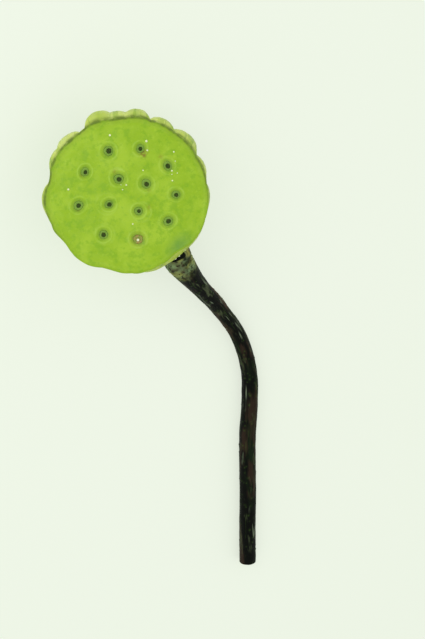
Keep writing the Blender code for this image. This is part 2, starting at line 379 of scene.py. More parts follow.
MOUTH_RADIUS = 2.35 * MM
LIP_RADIUS = 4.4 * MM
LIP_WIDTH = 0.50 * MM
LIP_HEIGHT = 0.30 * MM
BOWL_DEPTH = 0.45 * MM
BOWL_RADIUS = 3.8 * MM
SWELLS_MM = ((0.30, 15, 5), (0.10, 4.5, 6), (0.03, 1.5, 7))  # height, size, noise pattern
GROOVE_DEPTH = 0.22 * MM  # of the groove that runs along the rim
GROOVE_PLACE = 0.93  # as a share of the rim radius
GROOVE_WIDTH = 0.025

PIT_PLACES = np.array(SEED_PLACES_MM) * MM
PITS = range(len(PIT_PLACES))

# A second, wider ridge beside some pits: pit number, way to its middle, radius, height
OUTER_RIDGES_MM = (
    (4, (-1.2, 0.3), 4.6, 0.34), (9, (1.5, 0.8), 5.2, 0.26), (3, (0.6, -0.9), 5.0, 0.14),
    (8, (-0.8, -0.8), 5.6, 0.20), (12, (0.2, 0.4), 5.4, 0.18), (5, (0.4, 0.5), 5.6, 0.12),
)


def pit_character(number):
    """Each pit's own size, lip strength and stretch, the same at every run."""
    draw = random.Random(100 + number)
    return (draw.uniform(0.90, 1.10), draw.uniform(0.65, 1.25), draw.uniform(-0.07, 0.07),
            draw.uniform(0, math.pi))


def pit_reach(x, y, number):
    """Distance from a pit's middle, stretched by the pit's own character."""
    place = PIT_PLACES[number]
    size, _, stretch, lean = pit_character(number)
    dx, dy = x - place[0], y - place[1]
    oval = 1 + stretch * np.cos(2 * (np.arctan2(dy, dx) - lean))
    return np.hypot(dx, dy) / (size * oval)


def dome_height(x, y):
    return FACE_DOME * (1 - (np.hypot(x, y) / RIM_RADIUS) ** 2)


def outer_ridges(x, y, start, end):
    """The outer ridges at places, in mm, left out inside their own pits."""
    for number, way, radius, rise in OUTER_RIDGES_MM:
        place = PIT_PLACES[number] + np.array(way) * MM
        ridge = bell(away_from(place, x, y), radius * MM, LIP_WIDTH)
        yield rise * ridge * smooth_step(pit_reach(x, y, number), start, end)


def face_height(x, y):
    """The dome, soft undulations, and the lip and bowl of every pit."""
    edge = np.hypot(x, y) / rim_radius(np.arctan2(y, x))
    flat = np.stack([x, y, 0 * x], axis=1)
    keep = 1 - smooth_step(edge, 0.82, 0.97)
    swells = [rise * MM * noise_at(flat, size * MM, pattern) for rise, size, pattern in SWELLS_MM]
    height = dome_height(x, y) + keep * sum(swells)
    height = height - GROOVE_DEPTH * bell(edge, GROOVE_PLACE, GROOVE_WIDTH)
    for number in PITS:
        reach = pit_reach(x, y, number)
        strength = pit_character(number)[1]
        height = height + strength * LIP_HEIGHT * bell(reach, LIP_RADIUS, LIP_WIDTH)
        height = height - BOWL_DEPTH * (1 - smooth_step(reach, 0.9 * MOUTH_RADIUS, BOWL_RADIUS))
    return height + MM * sum(outer_ridges(x, y, 3.2 * MM, 4.2 * MM))


def mouth_outline(number, radius):
    """A ring of places round a pit, following the pit's stretch."""
    turn = even_turns(MOUTH_STEPS)
    size, _, stretch, lean = pit_character(number)
    wobble = 0.025 * np.sin(3 * turn + number) + 0.015 * np.sin(5 * turn + 2 * number)
    fade = 1 - smooth_step(radius, MOUTH_RADIUS, 5.0 * MM)
    grown = radius * size * (1 + stretch * np.cos(2 * (turn - lean))) * (1 + wobble * fade)
    return PIT_PLACES[number] + polar(grown, turn)


FACE_INSETS_MM = (1.1, 1.5, 2.0, 2.6, 3.2)  # of the rings inside the rim
RIM_GAP = 1.05 * MM  # just less than the first inset: outside it, nothing is kept
FILL_INSET = 3.7 * MM  # the fill starts this far inside the rim
FILL_CLEARANCE = 6.25 * MM  # and this far from a pit's middle
HEX_ROW = 0.866  # distance of a hexagonal fill's rows, against its spacing
PIT_RINGS_MM = (2.35, 2.6, 2.9, 3.2, 3.5, 3.8, 4.1, 4.4, 4.7, 5.05, 5.45, 5.9)


def rim_inset(x, y):
    """How far inside the rim a place on the face is."""
    return rim_radius(np.arctan2(y, x)) - np.hypot(x, y)


def face_fill():
    """A hexagonal grid of places inside the rim rings and clear of the pits."""
    reach = RIM_RADIUS * 1.1
    rows = int(reach / (FACE_SPACING * HEX_ROW))
    fill = []
    for row in range(-rows, rows + 1):
        x = np.arange(-reach, reach, FACE_SPACING) + (row % 2) * FACE_SPACING / 2
        fill.append(np.stack([x, np.full_like(x, row * FACE_SPACING * HEX_ROW)], axis=1))
    fill = np.concatenate(fill)
    free = rim_inset(*fill.T) > FILL_INSET
    for number in PITS:
        free &= pit_reach(fill[:, 0], fill[:, 1], number) > FILL_CLEARANCE
    return fill[free]


def face_plan():
    """Flat triangulation of the face: rim rings, rings round the pits, a hexagonal fill."""
    turn = even_turns(RIM_STEPS)
    points = [polar(rim_radius(turn) - inset * MM, turn) for inset in FACE_INSETS_MM]
    mouths = []
    count = RIM_STEPS * len(points)
    for number in PITS:
        mouths.append(list(range(count, count + MOUTH_STEPS)))
        for radius in PIT_RINGS_MM:
            points.append(mouth_outline(number, radius * MM))
            count += MOUTH_STEPS
    points = np.concatenate(points + [face_fill()])

    edges = []
    for ring in [list(range(RIM_STEPS))] + mouths:
        edges.extend(zip(ring, ring[1:] + ring[:1]))
    made = delaunay_2d_cdt([Vector(p) for p in points], edges, [], 0, 1e-7)
    plan, triangles, originals = np.array(made[0]), made[2], made[3]
    number_of = {old: new for new, olds in enumerate(originals) for old in olds}
    corners = plan[np.array(triangles)].mean(axis=1)
    inside = rim_inset(*corners.T) > RIM_GAP
    mouths = [[number_of[i] for i in mouth] for mouth in mouths]
    for mouth in mouths:
        inside &= ~inside_outline(corners, plan[mouth])
    triangles = [tuple(t) for t, kept in zip(triangles, inside) if kept]
    return plan, triangles, [number_of[step] for step in range(RIM_STEPS)], mouths


def inside_outline(places, outline):
    """True where a place is inside a closed outline that is round its own middle."""
    spokes, own = outline - outline.mean(axis=0), places - outline.mean(axis=0)
    turns = np.arctan2(spokes[:, 1], spokes[:, 0])
    order = np.argsort(turns)
    limit = np.interp(np.arctan2(own[:, 1], own[:, 0]), turns[order],
                      np.hypot(*spokes.T)[order], period=math.tau)
    return np.hypot(*own.T) < limit * 0.998


EGG_STEPS = 16  # rings of a whole egg, from pole to pole
EGG_FIRST = 4  # the first ring of the egg below the mouth

# Inside of a pocket under its mouth: radius as a share of the mouth's, then the egg it holds
POCKET_THROAT_MM = ((0.99, 0.08), (0.97, 0.24), (0.96, 0.60), (0.98, 1.0), (1.05, 1.5))


def pocket_loops(number, mouth_points):
    """Rows of points from a pit's mouth down round the nutlet to the pocket's floor."""
    place = PIT_PLACES[number]
    spokes = mouth_points[:, :2] - place
    top = mouth_points[:, 2]
    dome = dome_height(*place)
    rows = []
    for grown, drop in POCKET_THROAT_MM:
        rows.append(at_height(place + spokes * grown, top - drop * MM))
    turn = np.arctan2(spokes[:, 1], spokes[:, 0])
    for step in range(EGG_FIRST, EGG_STEPS):
        bend = math.pi * step / EGG_STEPS
        radius = (SEED_RADIUS + POCKET_GAP) * math.sin(bend)
        depth = dome - SEED_DEPTH + POCKET_GAP
        depth -= (SEED_LENGTH + 2 * POCKET_GAP) * (1 - math.cos(bend)) / 2
        rows.append(at_height(place + polar(radius, turn), depth))
    return rows


# ---------------- receptacle: marks

# Brown stains beside pits: place and size in mm, strength
STAINS_MM = (
    ((-11.5, 21.0), 1.6, 1.0), ((-9.8, 20.8), 1.2, 0.9), ((-10.4, 22.0), 1.9, 0.35),
    ((-3.1, 26.7), 1.3, 0.40), ((-23.6, -10.4), 1.2, 0.35), ((-13.6, 3.7), 1.5, 0.35),
    ((12.2, 4.3), 1.4, 0.30), ((-11.5, -23.9), 1.3, 0.35), ((21.0, -11.1), 2.9, 0.60),
    ((5.8, 10.4), 1.0, 0.25),
)
# Place and size of the painted shade on the face, over the place where the neck sits behind it and keeps
# light from shining through the flesh
NECK_SHADE_MM = ((38.0, 3.2), (4.2, 7.0))


def face_marks(x, y):
    """Values 0 to 1 that colour the face: pit rings, lips, stains, the shade over the neck."""
    pit, lip, stain = np.zeros((3, len(x)))
    for number in PITS:
        reach = pit_reach(x, y, number)
        strength = min(pit_character(number)[1], 1)
        pit = np.maximum(pit, 1 - smooth_step(reach, 2.6 * MM, 4.1 * MM))
        lip = np.maximum(lip, strength * bell(reach, LIP_RADIUS, 1.1 * LIP_WIDTH))
    for ridge in outer_ridges(x, y, 3.6 * MM, 4.4 * MM):
        lip = np.maximum(lip, 3 * ridge)
    for place, size, strength in STAINS_MM:
        away = away_from(np.array(place) * MM, x, y)
        stain = np.maximum(stain, strength * bell(away, 0, size * MM))
    (middle_x, middle_y), (size_x, size_y) = NECK_SHADE_MM
    shade = bell(x, middle_x * MM, size_x * MM) * bell(y, middle_y * MM, size_y * MM)
    return dict(pit=pit, lip=np.clip(lip, 0, 1), stain=stain, shade=shade)


# side of the face where the painted shade on the rim is darkest
RIM_SHADED_SIDE = 150  # degrees


def rim_shade_strength(angle):
    """Strength of the painted shade on the rim's rounded edge: dark on one side of the face and nearly
    missing on the other.
    """
    away = np.abs(degrees_away(angle, RIM_SHADED_SIDE))
    patches = 0.5 + 0.5 * np.sin(5 * angle + 0.8) * np.sin(11 * angle)
    return 0.14 + 0.72 * (1 - smooth_step(away, 75, 125)) + 0.14 * patches


def rim_shade(inset):
    """A thin line of painted shade on the rim, and a weak wide painted shade beside it."""
    line = 1 - smooth_step(inset, 0.5 * MM, 1.5 * MM)
    return 0.75 * line + 0.25 * (1 - smooth_step(inset, 0.8 * MM, 4.5 * MM))


RIM_EDGE_STEPS = 5
WALL_START = 0.0155  # share at which the wall leaves the rounded rim
WALL_CROWDING = 1.35  # above 1 the rings are closer together near the rim
WALL_LENGTH = 75 * MM  # rough length of the cup's middle line


def add_rim_edge(rows, turn):
    """Rows of points over the rounded edge of the rim."""
    loops = []
    for step in range(1, RIM_EDGE_STEPS + 1):
        bend = math.pi / 2 * step / RIM_EDGE_STEPS
        radius = rim_radius(turn) - RIM_ROUND * (1 - math.sin(bend))
        height = -RIM_ROUND * (1 - math.cos(bend))
        # painted shade on the rim's rounded edge, strongest on one side
        loops.append(rows.add(at_height(polar(radius, turn), height), rim_line=rim_shade_strength(turn),
                              face_part=1 - 0.5 * step / RIM_EDGE_STEPS))
    return loops


def add_wall(rows, turn):
    """Rows of points from the rim down to the neck."""
    shares = WALL_START + (1 - WALL_START) * np.linspace(0, 1, WALL_RINGS) ** WALL_CROWDING
    furrows, sink = wall_relief(*np.meshgrid(turn, shares))
    wall = wall_points(*np.meshgrid(turn, shares), sink)
    loops = []
    for share, furrow, points in zip(shares, furrows, wall):
        grain = at_height(polar(RIM_RADIUS * (1 - 0.5 * share), turn), WALL_LENGTH * share)
        # the painted shade of the rim runs a little way down the wall
        line = rim_shade_strength(turn) * (1 - smooth_step(share, 0.012, 0.024))
        neck_side = smooth_step(np.cos(turn), 0.35, 0.85) * (1 - smooth_step(share, 0.6, 0.9))
        loops.append(rows.add(points, grain=grain, share=share, furrow=furrow, rim_line=line,
                              face_part=0.4 * line, neck_side=neck_side,
                              seam=1 - smooth_step(points[:, 1], 2 * MM, 5 * MM)))
    return loops


def add_pocket(rows, number, mouth, mouth_points, stain):
    """The faces of a pocket, from a pit's mouth down to a closed floor."""
    loops = [mouth]
    for points in pocket_loops(number, mouth_points):
        loops.append(rows.add(points, pit=1.0, face_part=1.0, stain=stain))
    floor = [*PIT_PLACES[number], points[0, 2] - 0.2 * MM]
    return loft(loops) + fan(rows.add(np.array([floor]), pit=1.0)[0], loops[-1])


def make_receptacle(material):
    plan, triangles, rim, mouths = face_plan()
    x, y = plan.T
    face = np.column_stack([x, y, face_height(x, y)])
    face[rim, 2] = 0.0
    marks = face_marks(x, y)
    # painted shade along the rim, strongest on one side of the face
    rim_line = rim_shade_strength(np.arctan2(y, x)) * rim_shade(rim_inset(x, y))

    rows = Rows("pit", "lip", "stain", "shade", "rim_line", "face_part", "furrow", "share",
                "seam", "neck_side")
    rows.add(face, grain=np.column_stack([x, y, 0 * x]), rim_line=rim_line, face_part=1.0, **marks)
    turn = even_turns(RIM_STEPS)
    loops = [rim] + add_rim_edge(rows, turn) + add_wall(rows, turn)
    end = spine_at(np.array([1.0])) + np.array(neck_direction()) * 0.2 * MM
    faces = triangles + loft(loops) + fan(rows.add(end, share=1.0)[0], loops[-1])
    for number, mouth in enumerate(mouths):
        faces += add_pocket(rows, number, mouth, face[mouth], marks["stain"][mouth])
    points, values = rows.joined()
    piece = new_piece("receptacle_flesh", to_row_frame(points), faces, values, material)
    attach(piece, "root")
    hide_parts("receptacle")
    return piece


# ---------------- nutlets

STIGMA_RADIUS = 1.15 * MM
BROWNISH_NUTLET = 10  # its number among the pits

# The stigma: radius as a share of its own, drop below its rim in mm, dark
STIGMA_PROFILE = (
    (0.0, 0.24, 1.0), (0.35, 0.20, 1.0), (0.55, 0.08, 1.0), (0.75, 0.0, 1.0), (0.93, 0.05, 1.0),
    (1.0, 0.22, 0.95), (0.97, 0.42, 0.8), (1.02, 0.55, 0.35),
)
# The shoulder that fills the mouth: radius and height in mm, dark
SHOULDER_PROFILE_MM = (
    (1.45, -0.58, 0.05), (1.85, -0.52, 0.0), (2.14, -0.54, 0.0), (2.26, -0.70, 0.0),
    (2.24, -1.60, 0.1), (2.30, -2.40, 0.3),
)


def nutlet_profile(draw):
    """Half outline from the stigma's dimple down to the nutlet's foot: radius, height, dark."""
    top = -0.22 * MM - draw.uniform(0, 0.12) * MM
    radius = STIGMA_RADIUS * draw.uniform(0.88, 1.08)
    tip = [(share * radius, top - drop * MM, dark) for share, drop, dark in STIGMA_PROFILE]
    shoulder = [(wide * MM, height * MM, dark) for wide, height, dark in SHOULDER_PROFILE_MM]
    egg = []
    for step in range(EGG_FIRST, EGG_STEPS + 1):
        bend = math.pi * step / EGG_STEPS
        egg.append((SEED_RADIUS * math.sin(bend),
                    -SEED_DEPTH - SEED_LENGTH * (1 - math.cos(bend)) / 2, 0.0))
    return tip + shoulder + egg


def make_nutlet(number, material):
    draw = random.Random(300 + number)
    profile = nutlet_profile(draw)
    place = PIT_PLACES[number]
    dome = dome_height(*place)
    turn = even_turns(MOUTH_STEPS)
    lean = np.array([draw.uniform(0.05, 0.45), draw.uniform(-0.2, 0.2)]) * MM
    rows = Rows("dark", "blush")
    blush = float(number == BROWNISH_NUTLET)
    loops = []
    for radius, height, mark in profile[1:-1]:
        if height > -SEED_DEPTH - 0.1 * MM:
            ring = mouth_outline(number, radius)
            ring = ring + lean * (1 - smooth_step(radius, 1.5 * MM, 2.1 * MM))
            ring = place + (ring - place) * (1 + 0.05 * mark * np.sin(7 * turn + number))[:, None]
        else:
            ring = place + polar(radius, turn)
        loops.append(rows.add(at_height(ring, dome + height), dark=mark, blush=blush))
    poles = [[*(place + lean), dome + profile[0][1]], [*place, dome + profile[-1][1]]]
    top, foot = rows.add(np.array(poles), dark=(1.0, 0.0), blush=blush)
    faces = loft(loops) + fan(top, loops[0]) + fan(foot, loops[-1])
    points, values = rows.joined()
    piece = new_piece(f"nutlet_{number + 1:02d}", to_row_frame(points), faces, values, material)
    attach(piece, "root")
    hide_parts(f"seed_{number + 1:02d}")


# ---------------- stalk

STEM_STEPS = 72
STEM_RING_SPACING = 0.42 * MM
STEM_START = -1.2 * MM  # the stalk starts inside the neck, so the joint is closed
STEM_START_RADIUS = 7.4 * MM


def stem_knots():
    """The CAD stalk's knots: collar straight on from the neck, then the route down to the floor."""
    neck = HEAD @ Vector((NECK_OFFSET, 0, -NECK_DEPTH))
    along = HEAD.to_3x3() @ neck_direction()
    shift = HEAD.translation.to_2d() - Vector(FACE_PLACE_MM) * MM
    collar = [(*(neck + along * run), COLLAR_RADIUS) for run in (JOINT_GAP, JOINT_GAP + COLLAR_START)]
    return np.vstack([collar, np.array(STEM_ROUTE_MM) * MM + (*shift, 0, 0)])


def smooth_route(knots, steps=40):
    """Many points on a Catmull-Rom curve through the knots."""
    padded = np.vstack([2 * knots[0] - knots[1], knots, 2 * knots[-1] - knots[-2]])
    t = (np.arange(steps) / steps)[:, None]
    points = []
    for before, start, end, after in zip(padded, padded[1:], padded[2:], padded[3:]):
        points.append(0.5 * (2 * start + (end - before) * t
                             + (2 * before - 5 * start + 4 * end - after) * t ** 2
                             + (3 * start - before - 3 * end + after) * t ** 3))
    return np.vstack(points + [knots[-1:]])


def even_route():
    """The stalk's line at an even fine spacing, its radius, and the length run at each point."""
    route = smooth_route(stem_knots())
    ahead = route[1] - route[0]
    first = route[0] + ahead / np.linalg.norm(ahead[:3]) * STEM_START
    first[3] = STEM_START_RADIUS
    route = np.vstack([first, route])
    run = lengths_along(route[:, :3])
    even = np.linspace(0, run[-1], int(run[-1] / STEM_RING_SPACING))
    return on_line(even, run, route), even


def carried_sides(line):
    """Two directions across the line at every point, carried along without twist."""
    along = np.gradient(line, axis=0)
    along /= np.linalg.norm(along, axis=1)[:, None]
    side = np.cross(along[0], (0, 0, 1))
    sides = []
    for direction in along:
        side = side - direction * (side @ direction)
        side = side / np.linalg.norm(side)
        sides.append(side)
    sides = np.array(sides)
    return along, sides, np.cross(along, sides)


PRICKLE_COUNT = 300
PRICKLE_HEIGHT = 0.42 * MM  # of the tallest


def prickle_places(length):
    """Seeded places of the prickles: length run, angle, height and foot radius."""
    draw = random.Random(7)
    return [(draw.uniform(22 * MM, length - 3 * MM), draw.uniform(0, math.tau),
             draw.uniform(0.12, 0.42) * MM, draw.uniform(0.35, 0.75) * MM)
            for _ in range(PRICKLE_COUNT)]


STREAK_HEIGHT = 0.09 * MM
LUMP_HEIGHT = 0.14 * MM
BARK_GRIT = 0.05 * MM
BARK_SINK = 0.10 * MM  # keeps the relief's mean near the CAD stalk's radius
GRAIN_RADIUS = 4.8 * MM  # the grain is laid out on a straight tube of this radius
COLLAR_RING_SPACING = 2.1 * MM
COLLAR_RING_HEIGHT = 0.13 * MM
COLLAR_STIPPLE = 0.18 * MM
COLLAR_SINK = 0.12 * MM
FLOOR_GAP = 0.02 * MM  # the lowest bark is this far above the floor


def stem_relief(run, turn, radius, length):
    """Height of the bark over the plain tube, how much prickle and how much collar it is."""
    grid_run, grid_turn = np.meshgrid(run, turn, indexing="ij")
    grid_radius = np.broadcast_to(radius[:, None], grid_run.shape)
    flat = stem_grain(grid_run.ravel(), grid_turn.ravel())

    def bark_noise(stretch, size, pattern):
        return noise_at(flat * np.array([1, 1, stretch]), size, pattern).reshape(grid_run.shape)

    fine = bark_noise(0.07, 0.9 * MM, 11) + 0.6 * bark_noise(0.07, 0.5 * MM, 12)
    relief = (STREAK_HEIGHT * fine + LUMP_HEIGHT * bark_noise(1, 5 * MM, 13)
              + BARK_GRIT * bark_noise(1, 0.9 * MM, 14) - BARK_SINK)
    collar = 1 - smooth_step(grid_run, 12 * MM, 20 * MM)
    warp = bark_noise(0.5, 4 * MM, 15)
    rings = np.sin((grid_run + 0.5 * MM * warp) * math.tau / COLLAR_RING_SPACING)
    stipple = bark_noise(1, 0.75 * MM, 16)
    relief = relief + collar * (COLLAR_RING_HEIGHT * rings * (0.6 + 0.6 * warp)
                                + COLLAR_STIPPLE * stipple - COLLAR_SINK)
    prickle = np.zeros_like(grid_run)
    for place, angle, height, foot in prickle_places(length):
        near = np.abs(run - place) < 3 * foot
        along = (grid_run[near] - place) / foot
        across = (grid_turn[near] - angle + math.pi) % math.tau - math.pi
        across = across * grid_radius[near] / foot
        bump = np.exp(-1.6 * np.hypot(along, across) ** 1.3)
        relief[near] += height * bump
        prickle[near] = np.maximum(prickle[near], bump * height / PRICKLE_HEIGHT)
    return relief, prickle, collar


def stem_grain(run, turn):
    """Places on a straight tube, where the stalk's patterns are laid out."""
    return at_height(polar(GRAIN_RADIUS, turn), run)


# Air canals of the cut end: count, way out and size as shares of the radius, depth in mm
CANAL_RINGS = ((7, 0.47, 0.155, 1.4), (12, 0.78, 0.055, 0.7), (1, 0.0, 0.06, 0.5))
DEEPEST_CANAL = CANAL_RINGS[0][3] * MM


def canal_dimples(x, y, radius):
    """Depth of the air canals at places on the cut end."""
    depth = np.zeros_like(x)
    for count, out, size, deep in CANAL_RINGS:
        for middle in polar(out * radius, math.tau * (np.arange(count) + 0.3 * out) / count):
            inside = 1 - smooth_step(away_from(middle, x, y) / (size * radius), 0.7, 1.05)
            depth = np.maximum(depth, deep * MM * inside)
    return depth


CAP_SHARES = np.linspace(0.96, 0.04, 24)  # rings of the cut end, against its radius


def stem_marks(points, run, outward):
    """How much of the buff fillet and of the dark seam band shows at each place near the neck."""
    axes = np.array(HEAD.to_3x3())
    buff_side = smooth_step((points - np.array(HEAD.translation)) @ axes[:, 1], 2 * MM, 5 * MM)
    front = smooth_step(outward @ axes[:, 2], -0.3, 0.6)
    fillet = buff_side * (1 - smooth_step(run, 1.6 * MM + 2.2 * MM * front, 5.6 * MM))
    seam = (1 - buff_side) * (1 - smooth_step(run - 2.3 * MM * front, 0.9 * MM, 2.2 * MM))
    return dict(fillet=fillet, seam=seam)


def make_stem(material):
    route, run = even_route()
    line, radius = route[:, :3], route[:, 3]
    along, side, over = carried_sides(line)
    turn = even_turns(STEM_STEPS)
    relief, prickle, collar = stem_relief(run, turn, radius, run[-1])
    outward = (side[:, None, :] * np.cos(turn)[None, :, None]
               + over[:, None, :] * np.sin(turn)[None, :, None])
    points = line[:, None, :] + outward * (radius[:, None] + relief)[:, :, None]
    points[:, :, 2] = np.maximum(points[:, :, 2], FLOOR_GAP)

    rows = Rows("run", "prickle", "collar", "cut", "fillet", "seam")
    grid_run = np.repeat(run, STEM_STEPS)
    skin = points.reshape(-1, 3)
    numbers = rows.add(skin, grain=stem_grain(grid_run, np.tile(turn, len(run))), run=grid_run,
                       prickle=prickle.ravel(), collar=collar.ravel(),
                       **stem_marks(skin, grid_run, outward.reshape(-1, 3)))
    loops = [numbers[start:start + STEM_STEPS] for start in range(0, len(numbers), STEM_STEPS)]
    for share in CAP_SHARES:
        flat = (points[-1] - line[-1]) * share
        x, y = flat @ side[-1], flat @ over[-1]
        depth = canal_dimples(x, y, radius[-1])
        # the cut end is pale, and darker in the canal dimples: painted shade of the deep canals
        cut = np.where(share > 0.93, 0.3, 1.0 - 0.75 * depth / DEEPEST_CANAL)
        loops.append(rows.add(line[-1] + flat - along[-1] * depth[:, None], run=run[-1], cut=cut,
                              grain=at_height(np.column_stack([x, y]), run[-1])))
    end, start = rows.add(np.vstack([line[-1], line[0]]), grain=np.zeros((2, 3)))
    faces = loft(loops) + fan(end, loops[-1]) + fan(start, loops[0])
    points, values = rows.joined()
    piece = new_piece("stalk_rind", points, faces, values, material)
    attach(piece, "root")
    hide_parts("stem")


# ---------------- dew

# Drops on the face: place and radius in mm
FACE_DROPS_MM = (
    (-29.4, 14.5, 0.60), (-14.3, 26.7, 0.65), (-10.4, 23.8, 0.50), (-0.5, 33.7, 0.45),
    (6.2, 26.3, 0.50), (10.2, 23.0, 0.45), (-4.3, 3.4, 0.45), (-22.9, -20.8, 0.55),
    (-4.1, 15.1, 0.40), (-3.8, 0.3, 0.35), (13.2, -7.8, 0.40), (21.3, -11.4, 0.75),
    (3.6, 31.0, 0.30), (9.0, 27.6, 0.28), (7.6, 25.0, 0.28), (-6.2, 1.4, 0.25),
)
WALL_DROP_COUNT = 46
DROP_RINGS, DROP_STEPS = 5, 14
DROP_EDGE = math.radians(112)  # past 90 degrees the bead's edge turns inwards
DROP_FLATTENING = 0.72


def add_drop(rows, place, out, radius):
    """A bead with a rounded edge, sitting a little in the skin. Gives back its faces."""
    turn = np.array(Vector(out).to_track_quat("Z", "Y").to_matrix())
    loops = []
    for bend in DROP_EDGE * (1 - np.arange(DROP_RINGS) / DROP_RINGS):
        ring = at_height(polar(radius * math.sin(bend), even_turns(DROP_STEPS)),
                         DROP_FLATTENING * radius * math.cos(bend))
        loops.append(rows.add(ring @ turn.T + place))
    poles = np.array([(0, 0, 1), (0, 0, math.cos(DROP_EDGE))]) * DROP_FLATTENING * radius
    top, foot = rows.add(poles @ turn.T + place)
    return loft(loops) + fan(top, loops[-1]) + fan(foot, loops[0])


def make_dew(skin, material):
    """Drops laid on the finished skin, along its own normals."""
    rows, faces = Rows(), []
    x, y, radii = np.array(FACE_DROPS_MM).T * MM
    for place, radius in zip(to_row_frame(np.column_stack([x, y, face_height(x, y)])), radii):
        faces += add_drop(rows, place, np.array(HEAD.to_3x3())[:, 2], radius)
    vertices = skin.data.vertices
    places = np.zeros(len(vertices) * 3)
    vertices.foreach_get("co", places)
    places = places.reshape(-1, 3)
    draw = random.Random(21)
    for _ in range(WALL_DROP_COUNT):
        angle = np.array([draw.uniform(0, math.tau)])
        share = np.array([draw.uniform(0.05, 0.85)])
        wall = to_row_frame(wall_points(angle, share, 0.4 * MM))[0]
        nearest = int(np.argmin(((places - wall) ** 2).sum(axis=1)))
        faces += add_drop(rows, places[nearest], vertices[nearest].normal,
                          draw.choice((0.3, 0.4, 0.45, 0.6)) * MM)
    piece = new_piece("dew_drops", rows.joined()[0], faces, {}, material)
    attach(piece, "root")


# ---------------- materials

def srgb(*screen):
    """A screen colour, 0 to 255, as the linear colour that shaders use."""
    shares = [value / 255 for value in screen]
    linear = [s / 12.92 if s <= 0.04045 else ((s + 0.055) / 1.055) ** 2.4 for s in shares]
    return (*linear, 1.0)


class Shader:
    """A Principled material and short ways to add nodes to it."""

    def __init__(self, name, **fixed):
        self.material = bpy.data.materials.new(name)
        self.material.use_nodes = True
        self.tree = self.material.node_tree
        self.surface = self.tree.nodes["Principled BSDF"]
        for key, value in fixed.items():
            self.surface.inputs[key.replace("_", " ")].default_value = value

    def node(self, kind, output, inputs=(), **settings):
        """Add a node, set or plug its inputs, and give back one of its outputs."""
        made = self.tree.nodes.new(kind)
        for key, value in settings.items():
            setattr(made, key, value)
        for key, value in dict(inputs).items():
            if isinstance(value, bpy.types.NodeSocket):
                self.tree.links.new(value, made.inputs[key])
            else:
                made.inputs[key].default_value = value
        return made.outputs[output]

    def value(self, name):
        return self.node("ShaderNodeAttribute", "Fac", attribute_name=name)

    def vector(self, name):
        return self.node("ShaderNodeAttribute", "Vector", attribute_name=name)

    def along_grain(self, squeeze):
        """The grain's places, squeezed lengthwise, so that a pattern on them runs long."""
        return self.node("ShaderNodeMapping", "Vector", {
            "Vector": self.vector("grain"), "Scale": (1, 1, squeeze)})

    def noise(self, vector, scale, detail=3.0, roughness=0.55, distortion=0.0):
        return self.node("ShaderNodeTexNoise", "Fac", {
            "Vector": vector, "Scale": scale, "Detail": detail, "Roughness": roughness,
            "Distortion": distortion})

    def voronoi(self, vector, scale):
        return self.node("ShaderNodeTexVoronoi", "Distance", {"Vector": vector, "Scale": scale})

    def band(self, value, low, high, start=0.0, end=1.0):
        """A smooth ramp from start at low to end at high."""
        return self.node("ShaderNodeMapRange", "Result", {
            "Value": value, "From Min": low, "From Max": high, "To Min": start, "To Max": end},
            interpolation_type="SMOOTHSTEP")

    def maths(self, operation, first, second):
        return self.node("ShaderNodeMath", 0, {0: first, 1: second}, operation=operation)

    def times(self, product, *factors):
        for factor in factors:
            product = self.maths("MULTIPLY", product, factor)
        return product

    def mix(self, factor, first, second):
        return self.node("ShaderNodeMix", 2, {0: factor, 6: first, 7: second}, data_type="RGBA")

    def bump(self, height, distance, strength, under=None):
        inputs = {"Height": height, "Distance": distance, "Strength": strength}
        if under is not None:
            inputs["Normal"] = under
        return self.node("ShaderNodeBump", "Normal", inputs)

    def plug(self, **sockets):
        for key, socket in sockets.items():
            self.tree.links.new(socket, self.surface.inputs[key.replace("_", " ")])
        return self.material


FACE_GREEN = srgb(150, 186, 36)
FACE_PALE = srgb(170, 201, 56)
FACE_DEEP = srgb(128, 173, 34)
RIM_SHADE_OLIVE = srgb(102, 122, 44)
LIP_LIGHT = srgb(172, 204, 82)
PIT_GREEN = srgb(116, 150, 62)
STAIN_BROWN = srgb(128, 82, 44)
NECK_SHADE_TEAL = srgb(110, 156, 70)
WALL_LIGHT = srgb(206, 217, 124)
WALL_GREEN = srgb(182, 200, 58)
WALL_MID = srgb(140, 172, 50)
WALL_DARK = srgb(76, 138, 62)
FURROW_SHADE = srgb(24, 74, 40)
NECK_BUFF = srgb(166, 162, 84)
SEAM_DARK = srgb(8, 12, 6)


def face_colour(s, place):
    broad = s.noise(place, 60, 3, 0.6)
    mottle = s.noise(place, 260, 4, 0.65)
    face = s.mix(s.band(broad, 0.38, 0.66, 0.0, 0.75), FACE_GREEN, FACE_PALE)
    face = s.mix(s.band(mottle, 0.52, 0.36, 0.0, 0.58), face, FACE_DEEP)
    face = s.mix(s.band(s.noise(place, 420, 3, 0.6), 0.56, 0.70, 0.0, 0.45), face, FACE_PALE)
    face = s.mix(s.band(s.voronoi(place, 900), 0.16, 0.05, 0.0, 0.30), face, FACE_PALE)
    # painted shade over the neck behind the face
    face = s.mix(s.times(s.value("shade"), 0.70), face, NECK_SHADE_TEAL)
    uneven = s.band(s.noise(place, 230, 2), 0.36, 0.62, 0.18, 0.62)
    face = s.mix(s.times(s.value("lip"), uneven), face, LIP_LIGHT)
    face = s.mix(s.times(s.value("pit"), 0.44), face, PIT_GREEN)
    stain = s.times(s.value("stain"), s.band(s.noise(place, 800), 0.3, 0.6))
    return s.mix(stain, face, STAIN_BROWN)


